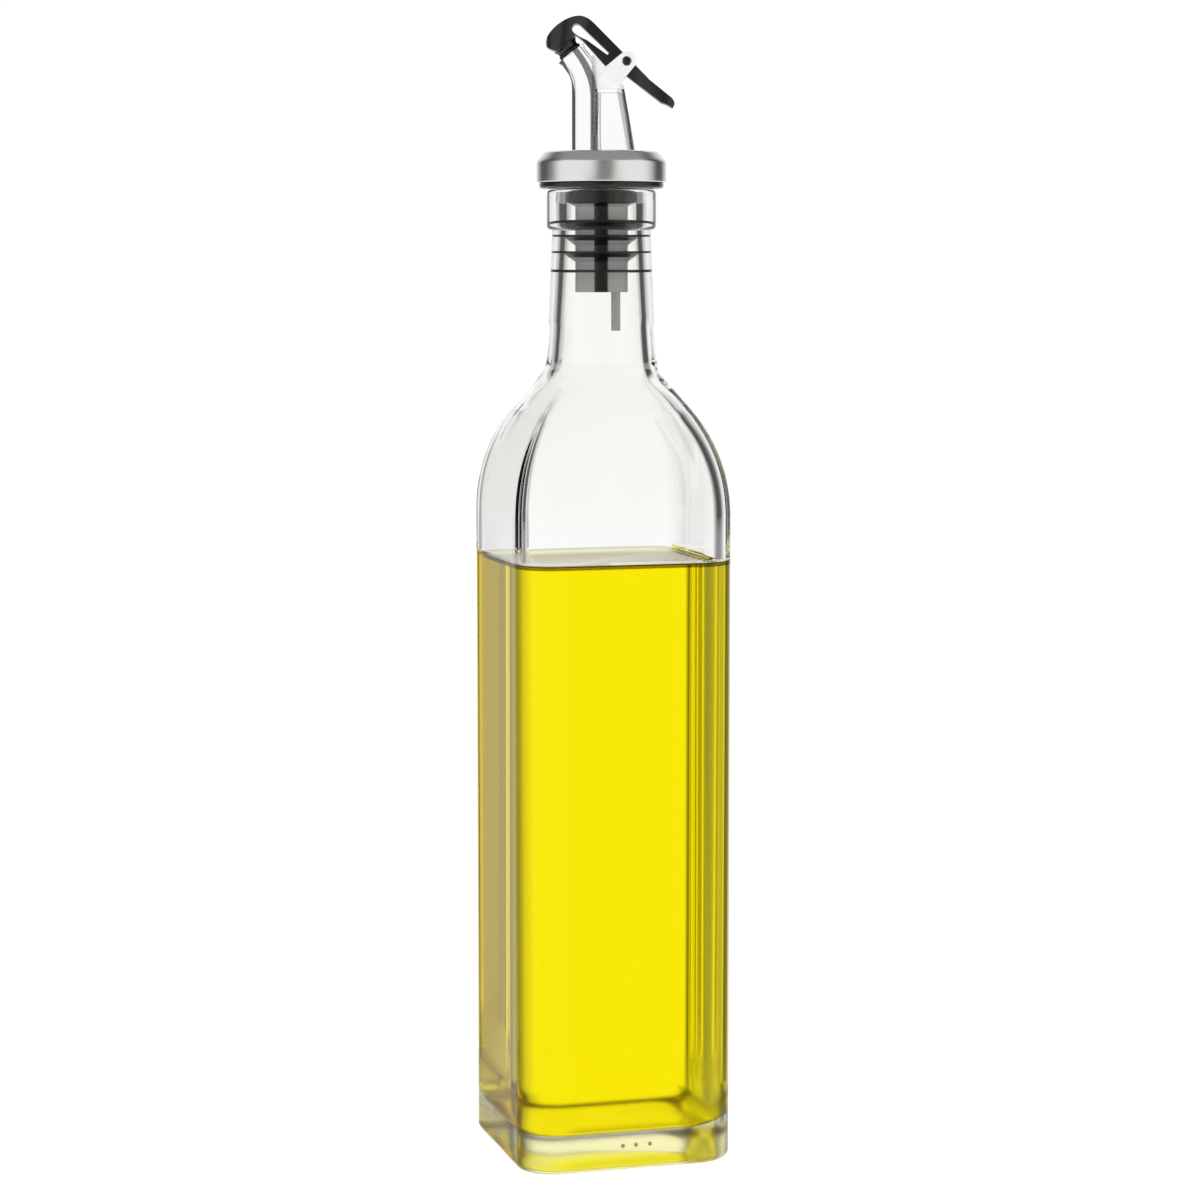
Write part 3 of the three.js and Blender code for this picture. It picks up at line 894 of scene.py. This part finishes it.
def makeTube():  # up the outside, over the lip and down the bore
    s, lean = spoutShape, pourerShape["lean"]
    line, mouth, axis = tubeLine()
    radius, height = s["lip"]
    swellDown, swellIn = s["lipSwell"]
    edge = s["lipRound"]
    outside = [(point, angle, s["tube"]) for point, angle in line]
    outside += [(mouth - axis * height, lean, s["tube"] - s["lipStart"])]
    outside += [(mouth - axis * height * swellDown, lean, radius - swellIn)]
    outside += [(mouth - axis * edge, lean, radius), (mouth, lean, radius - edge)]
    outside += [(mouth, lean, s["bore"] + edge)]
    inside = [(mouth - axis * edge, lean, s["bore"])]
    inside += [(point, angle, s["bore"]) for point, angle in reversed(line)]
    place, angle, radius = outside[0]
    piece = startRing("spoutTube", radius * mm, place.y * mm, s["tubeSides"], False, (place.x * mm, 0))
    for nextPlace, nextAngle, nextRadius in outside[1:] + inside + outside[:1]:
        step = (nextPlace - place) * mm
        centre = (nextPlace.x * mm, 0, nextPlace.y * mm)
        grow = nextRadius / radius
        liftRing((step.x, 0, step.y))
        bpy.ops.transform.rotate(value=nextAngle - angle, orient_axis="Y", center_override=centre)
        bpy.ops.transform.resize(value=(grow, grow, grow), center_override=centre)
        place, angle, radius = nextPlace, nextAngle, nextRadius
    return smoothShading(closeUp(piece, 1e-5), 50)


def wedgeAt(z, inset):  # half width, half depth and middle of the wedge's section
    s = spoutShape
    left = s["wedgeLeft"] + inset
    right = between(z, s["foot"], s["wedgeTop"], *s["wedgeRight"]) - inset
    below = min(1, max(0, (s["shaped"] - z) / (s["shaped"] - pourerShape["bandTop"])))
    depth = between(below ** 2, 1, 0, *s["wedgeDepth"]) - inset
    return (right - left) / 2, depth, (left + right) / 2


def wedgeSkin(name, foot, top, inset):
    s = spoutShape
    width, depth, middle = wedgeAt(foot, inset)
    piece = startRing(name, width * mm, foot * mm, s["wedgeSides"], True, (middle * mm, 0))
    bpy.ops.transform.resize(value=(1, depth / width, 1), center_override=(middle * mm, 0, 0))
    place = foot
    for z in spread(foot, top, s["wedgeSteps"]):
        nextWidth, nextDepth, nextMiddle = wedgeAt(z, inset)
        step = ((nextMiddle - middle) * mm, 0, (z - place) * mm)
        liftRing(step, (nextWidth / width, nextDepth / depth, 1), (nextMiddle * mm, 0, 0))
        place, width, depth, middle = z, nextWidth, nextDepth, nextMiddle
    return piece


def makeWedge():  # the hollow clear wedge beside the tube
    s = spoutShape
    piece = closeUp(wedgeSkin("spoutWedge", s["foot"], s["milkyFoot"] - s["wedgeGap"], 0))
    hollow = closeUp(wedgeSkin("spoutVent", s["ventFoot"], s["ventTop"], s["wall"]))
    softenEdges(hollow, s["ventSoften"] * mm, 3, 50)
    choose(hollow, "FACE", lambda face: True)
    bpy.ops.mesh.flip_normals()
    bpy.ops.object.mode_set(mode="OBJECT")
    return smoothShading(joined(piece, hollow), 40)


def makeWedgeTop():  # the solid milky end of the wedge, cut to the slope
    s = spoutShape
    piece = wedgeSkin("wedgeTop", s["milkyFoot"], s["wedgeTop"], 0)
    (x0, z0), (x1, z1) = s["slope"]
    bpy.ops.mesh.select_all(action="SELECT")
    bpy.ops.mesh.bisect(plane_co=(x0 * mm, 0, z0 * mm), plane_no=(z0 - z1, 0, x1 - x0),
                        use_fill=True, clear_outer=True)
    return softenEdges(closeUp(piece), s["milkySoften"] * mm, 3, 50)


def spoutMaterial(name, ofTube):  # clear plastic with painted shade: grey and dark bands on its front half, where the walls are seen along them
    look, s = spoutLook, spoutShape
    recipe = newMaterial(name)
    turned = recipe.pourerPlace()
    across, height = recipe.part(turned, "X"), recipe.part(turned, "Z")
    if ofTube:
        bowFoot, bow = look["bow"]
        climb = recipe.larger(height - bowFoot, 0.0)
        straight = across + climb * climb * bow
        middle, inner, outer = look["band"]
        paintedGrey = recipe.fade(abs(straight - middle), inner, outer, 1.0, 0.0)
        paintedDark = recipe.fade(straight, *look["leftWallShade"], 1.0, 0.0)
    else:
        footRight, topRight = s["wedgeRight"]
        foot, top = s["foot"] * mm, s["wedgeTop"] * mm
        edge = recipe.fade(height, foot, top, footRight * mm, topRight * mm, "LINEAR")
        darkEdge, greyStart, greyEnd, greyOut = look["rightWallShade"]
        paintedGrey = recipe.fade(edge - across, greyEnd, greyOut, 1.0, 0.0)
        paintedDark = recipe.fade(edge - across, darkEdge, greyStart, 1.0, 0.0)
    front = recipe.fade(recipe.part(turned, "Y"), *look["frontHalf"], 1.0, 0.0)
    colour = recipe.mixColours(paintedGrey * front, look["clear"], look["tubeShadeGrey" if ofTube else "wedgeShadeGrey"])
    colour = recipe.mixColours(paintedDark * front, colour, look["paintedDark"])
    return recipe.finish(recipe.shader({
        "Base Color": colour, "Roughness": look["roughness"], "IOR": look["ior"], "Transmission Weight": 1.0,
    }))


def drawSlab(name, outline, near, far):  # a side view in millimetres, pushed through from near to far
    deselectAll()
    bpy.ops.mesh.primitive_plane_add(size=1, location=(0, 0, 0))
    piece = bpy.context.object
    piece.name = name
    bpy.ops.object.mode_set(mode="EDIT")
    bpy.ops.mesh.select_mode(type="VERT")
    bpy.ops.mesh.select_all(action="SELECT")
    bpy.ops.mesh.merge(type="CENTER")
    bpy.ops.transform.translate(value=(outline[0][0] * mm, near * mm, outline[0][1] * mm))
    for (x, z), (nextX, nextZ) in zip(outline, outline[1:]):
        step = ((nextX - x) * mm, 0, (nextZ - z) * mm)
        bpy.ops.mesh.extrude_vertices_move(TRANSFORM_OT_translate={"value": step})
    bpy.ops.mesh.select_all(action="SELECT")
    bpy.ops.mesh.edge_face_add()
    liftRing((0, (far - near) * mm, 0))
    return closeUp(piece, 1e-7)


def cut(piece, tool, operation="DIFFERENCE"):
    applyModifier(piece, "BOOLEAN", object=tool, operation=operation, solver="EXACT")
    bpy.data.objects.remove(tool)
    return piece


pinShape = {
    "radius": 1.1,
    "half": 4.43,
    "sides": 40,
    "soften": 0.2,
    "hole": (1.25, 6),      # radius and half length of what is cut for it
}


def pinRod(name, radius, half):
    x, z = pourerShape["pin"]
    piece = startRing(name, radius * mm, -half * mm, pinShape["sides"])
    liftRing((0, 0, 2 * half * mm))
    return applyPlace(closeUp(piece), (math.radians(90), 0, 0), (x * mm, 0, z * mm))


def makePin():
    pin = pinRod("pinBody", pinShape["radius"], pinShape["half"])
    return smoothShading(softenEdges(pin, pinShape["soften"] * mm), 40)


forkShape = {
    "near": 2.62,
    "far": 4.18,
    "start": (1.0, 296.8),
    "round": (2.48, 130, -42),      # radius round the pin, and the angles that it runs between
    "foot": ((6.56, 294.2), (8, (5.2, 293.1), (4.3, 291.5)), (-0.5, 294.2)),
    "soften": 0.25,
}


def makeFork():  # two ears for the pin, and the milky top of the wedge between them
    f = forkShape
    outline = trace(f["foot"], [f["start"]] + arcPoints(pourerShape["pin"], *f["round"]))
    near = drawSlab("forkNear", outline, -f["far"], -f["near"])
    far = drawSlab("forkFar", outline, f["near"], f["far"])
    for ear in (near, far):
        cut(ear, pinRod("pinHole", *pinShape["hole"]))
        softenEdges(ear, f["soften"] * mm, 3, 40)
    fork = joined(near, far, makeWedgeTop())
    fork.name = "spoutFork"
    return smoothShading(fork, 35)


# Flap: cap over the mouth, two arms, hub and thumb tail

flapShape = {
    "side": (   # side view: a point, or a curve's number of steps, its handles and its end
        (-12.4, 301.15), (8, (-13.6, 301.4), (-14.6, 302.1)), (8, (-15.4, 303), (-14.6, 305)),
        (14, (-13, 307.6), (-9.2, 310.2), (-6.2, 310.45)), (8, (-4, 310.65), (-1.8, 308.35)),
        (9.15, 297.4), (13.0, 293.4), (18.85, 288.7), (8, (20.4, 287.3), (19.15, 285.85)),
        (8, (18.2, 286.7), (16.1, 287.35)), (6.75, 294.45), (8, (3.6, 295.25), (1, 297.35)),
        (-3.9, 302.65), (4, (-4.9, 303.9), (-6.8, 305.3)),
    ),
    "slot": (   # the opening between the arms and the cap, in the same view
        (1.6, 300.1), (2.1, 300.6), (-5.7, 308), (8, (-7.3, 309), (-8, 307)),
        (8, (-7.8, 305.9), (-6.4, 305.2)), (8, (-5.2, 304.5), (-4, 304.1)),
    ),
    "slabHalf": 6,
    "cap": 4.68,                    # half widths seen from above
    "arm": 2.28,
    "tail": 3.48,
    "capMiddle": -10.3,
    "capSteps": 12,
    "capToArm": (-7, -6, -3),
    "armEnd": 9.4,
    "tailStart": (13, 17),
    "tip": 20.45,
    "planFoot": 280,
    "planHeight": 40,
    "soften": 0.4,
    "colour": (0.012, 0.012, 0.013, 1),
    "roughness": 0.3,
}

seal = {
    "profile": ((0.02, 0.02), (3.1, 0.02), (3.4, 0.5), (3.35, 0.8), (2.9, 1.3), (3.1, 2), (3.7, 2.75),
                (0.02, 2.85)),
    "rounding": 0.25,
    "sides": 64,
    "smooth": 60,
    "colour": (0.008, 0.008, 0.008, 1),
    "roughness": 0.12,
}


def flapPlan():  # the flap's outline from above: one half, then its mirror image
    s = flapShape
    cap, arm, tail, tip = s["cap"], s["arm"], s["tail"], s["tip"]
    capEnd, bend, armStart = s["capToArm"]
    swell, flat = s["tailStart"]
    half = trace((
        (10, (capEnd, cap), (bend, arm), (armStart, arm)), (s["armEnd"], arm),
        (8, (swell, tail), (flat, tail)), (8, (tip, tail), (tip, 0)),
    ), arcPoints((s["capMiddle"], 0), cap, 180, 90, s["capSteps"]))
    return half + [(x, -y) for x, y in half[-2:0:-1]]


def makeFlap():
    s = flapShape
    wide = s["slabHalf"]
    flap = drawSlab("flapBody", trace(s["side"]), -wide, wide)
    plan = applyPlace(drawSlab("flapPlan", flapPlan(), 0, s["planHeight"]), (math.radians(90), 0, 0))
    lowest = min(vertex.co.z for vertex in plan.data.vertices)
    cut(flap, applyPlace(plan, place=(0, 0, s["planFoot"] * mm - lowest)), "INTERSECT")
    softenEdges(flap, s["soften"] * mm, 4, 50)
    cut(flap, drawSlab("flapSlot", trace(s["slot"]), -wide, wide))
    cut(flap, pinRod("pinHole", *pinShape["hole"]))
    return smoothShading(flap, 40)


def makeSeal():
    return placeOnMouth(turnedPiece("sealBody", seal["profile"], seal))


blackPlastic = plasticMaterial("blackPlastic", flapShape, True)
milky = newMaterial("milkyPaintedGlowPlastic")
milkyPaintedGlowPlastic = milky.finish(milky.shader(milkyGlowLook))

dress(turnWithPourer(makeTube()), spoutMaterial("clearTube", True), "bottle", ["spout"])
dress(turnWithPourer(makeWedge()), spoutMaterial("clearWedge", False), "bottle", ["spout"])
dress(turnWithPourer(makeFork()), milkyPaintedGlowPlastic, "bottle", ["spout"])
dress(turnWithPourer(makePin()), blackPlastic, "bottle", ["pivot_pin"])
print("spout done")
dress(turnWithPourer(makeFlap()), blackPlastic, "flap", ["flap"])
dress(turnWithPourer(makeSeal()), plasticMaterial("blackRubber", seal), "flap", ["flap_seal"])
print("flap done")


# Camera and studio

shot = {
    "turn": -16.2,          # degrees round from the front
    "distance": 0.880,
    "height": 0.246,
    "tilt": 6.08,
    "lens": 96.63,
    "sensor": 36.0,
    "aside": -0.00038,      # how far the aim passes the axis, to the right
    "clip": (0.05, 30),
}

studio = {
    "white": 1.02,          # what the camera sees behind the bottle
    "backdrop": 1.0,        # below the ring, as the glass sees it
    "ceiling": 0.32,
    "ringSplit": (-0.09, -0.07),
    "ringTop": (0.62, 0.8),
    "ringFoot": (-0.4, -0.35),
    "floorRadius": 3.0,
    "floorSides": 96,
    "floorGlow": 0.92,
    "floorMatt": 0.35,
    "bounces": 48,
    "glossyBounces": 12,
    "transparentBounces": 24,
}

warm = (1, 0.88, 0.6)

# Brightness round the bottle by angle: 0 is straight behind it, positive to the right, 180 behind the camera

highRing = [
    (-180, 0.2), (-176, 0.2), (-164, 0.95), (-100, 0.95), (-84, 0.3), (-66, 0.08), (-44, 0.08), (-36, 0.5),
    (-28, 0.6), (-20, 1.0), (20, 1.0), (27, 0.75), (34, 0.6), (42, 0.2), (50, 0.06), (68, 0.06), (80, 0.6),
    (95, 0.95), (150, 0.95), (162, 0.2), (180, 0.2),
]

lowRing = [  # below the level of the neck, where the oil's faces look
    (-180, 0.3), (-158, 0.3), (-152, 0.95), (-100, 0.95), (-84, 0.4), (-60, 0.3), (-44, 0.3), (-38, 0.52),
    (-33, 0.52), (-32, 1.0), (-30.8, 0.7), (-30.62, 0.42), (-30.45, 0.12), (-26, 0.2), (-20, 1.0), (20, 1.0),
    (26, 0.85), (33, 0.72), (40, 0.45), (52, 0.25), (70, 0.25), (95, 0.95), (144, 0.95), (146, 0.2),
    (149.3, 0.2), (149.45, 0.35, warm), (149.62, 1.05, warm), (160, 0.95, warm), (166, 0.3), (180, 0.3),
]


def shotSides():  # the camera's way ahead and its right-hand side, on the level
    angle = math.radians(shot["turn"])
    return (-math.sin(angle), math.cos(angle), 0), (math.cos(angle), math.sin(angle), 0)


def makeCamera():
    ahead, right = (Vector(side) for side in shotSides())
    place = ahead * -shot["distance"] + right * shot["aside"] + Vector((0, 0, shot["height"]))
    bpy.ops.object.camera_add(location=place)
    camera = bpy.context.object
    camera.data.lens = shot["lens"]
    camera.data.sensor_width = shot["sensor"]
    camera.rotation_euler = (math.radians(90 - shot["tilt"]), 0, math.radians(shot["turn"]))
    camera.data.clip_start, camera.data.clip_end = shot["clip"]
    bpy.context.scene.camera = camera
    return camera


def ringStop(angle, value, tint=(1, 1, 1)):
    return angle / 360 + 0.5, (*(value * share for share in tint), 1)


def aroundFrom(recipe, vector):  # 0.5 straight behind the bottle, more to the right
    ahead, right = (recipe.vectors("DOT_PRODUCT", vector, side).output("Value") for side in shotSides())
    return recipe.add("ShaderNodeMath", {"operation": "ARCTAN2"}, {0: right, 1: ahead}) / (2 * math.pi) + 0.5


def makeWorld():
    world = bpy.data.worlds.new("studio")
    bpy.context.scene.world = world
    recipe = Recipe(world)
    direction = recipe.add("ShaderNodeTexCoord").output("Generated")
    height = recipe.part(direction, "Z")
    around = aroundFrom(recipe, direction)
    low, high = (recipe.add("ShaderNodeValToRGB", {"stops": [ringStop(*stop) for stop in ring]}, {0: around})
                 for ring in (lowRing, highRing))
    colour = recipe.mixColours(recipe.fade(height, *studio["ringSplit"]), low, high)
    colour = recipe.mixColours(recipe.fade(height, *studio["ringTop"]), colour, grey(studio["ceiling"]))
    below = recipe.fade(height, *studio["ringFoot"], 1.0, 0.0)
    colour = recipe.mixColours(below, colour, grey(studio["backdrop"]))
    seen = recipe.add("ShaderNodeLightPath").output("Is Camera Ray")
    colour = recipe.mixColours(seen, colour, grey(studio["white"]))
    background = recipe.add("ShaderNodeBackground", None, {"Color": colour, "Strength": 1.0})
    recipe.add("ShaderNodeOutputWorld", None, {"Surface": background})


def makeFloor():  # white to the camera, and left out of what the glass shows
    deselectAll()
    bpy.ops.mesh.primitive_circle_add(vertices=studio["floorSides"], radius=studio["floorRadius"],
                                      fill_type="NGON", location=(0, 0, 0))
    floor = bpy.context.object
    floor.name = "floor"
    recipe = newMaterial("paleFloor")
    glow = recipe.add("ShaderNodeEmission", None,
                      {"Color": grey(studio["white"]), "Strength": studio["floorGlow"]})
    matt = recipe.add("ShaderNodeBsdfDiffuse", None, {"Color": grey(studio["floorMatt"])})
    floor.data.materials.append(recipe.finish(recipe.add("ShaderNodeAddShader", None, {0: glow, 1: matt})))
    floor.visible_diffuse = floor.visible_glossy = floor.visible_transmission = floor.visible_shadow = False
    return floor


def setLook():
    scene = bpy.context.scene
    scene.view_settings.view_transform = "Standard"
    scene.view_settings.look = "None"
    scene.cycles.max_bounces = studio["bounces"]
    scene.cycles.transmission_bounces = studio["bounces"]
    scene.cycles.glossy_bounces = studio["glossyBounces"]
    scene.cycles.transparent_max_bounces = studio["transparentBounces"]


makeCamera()
makeWorld()
makeFloor()
setLook()
print("studio ready")
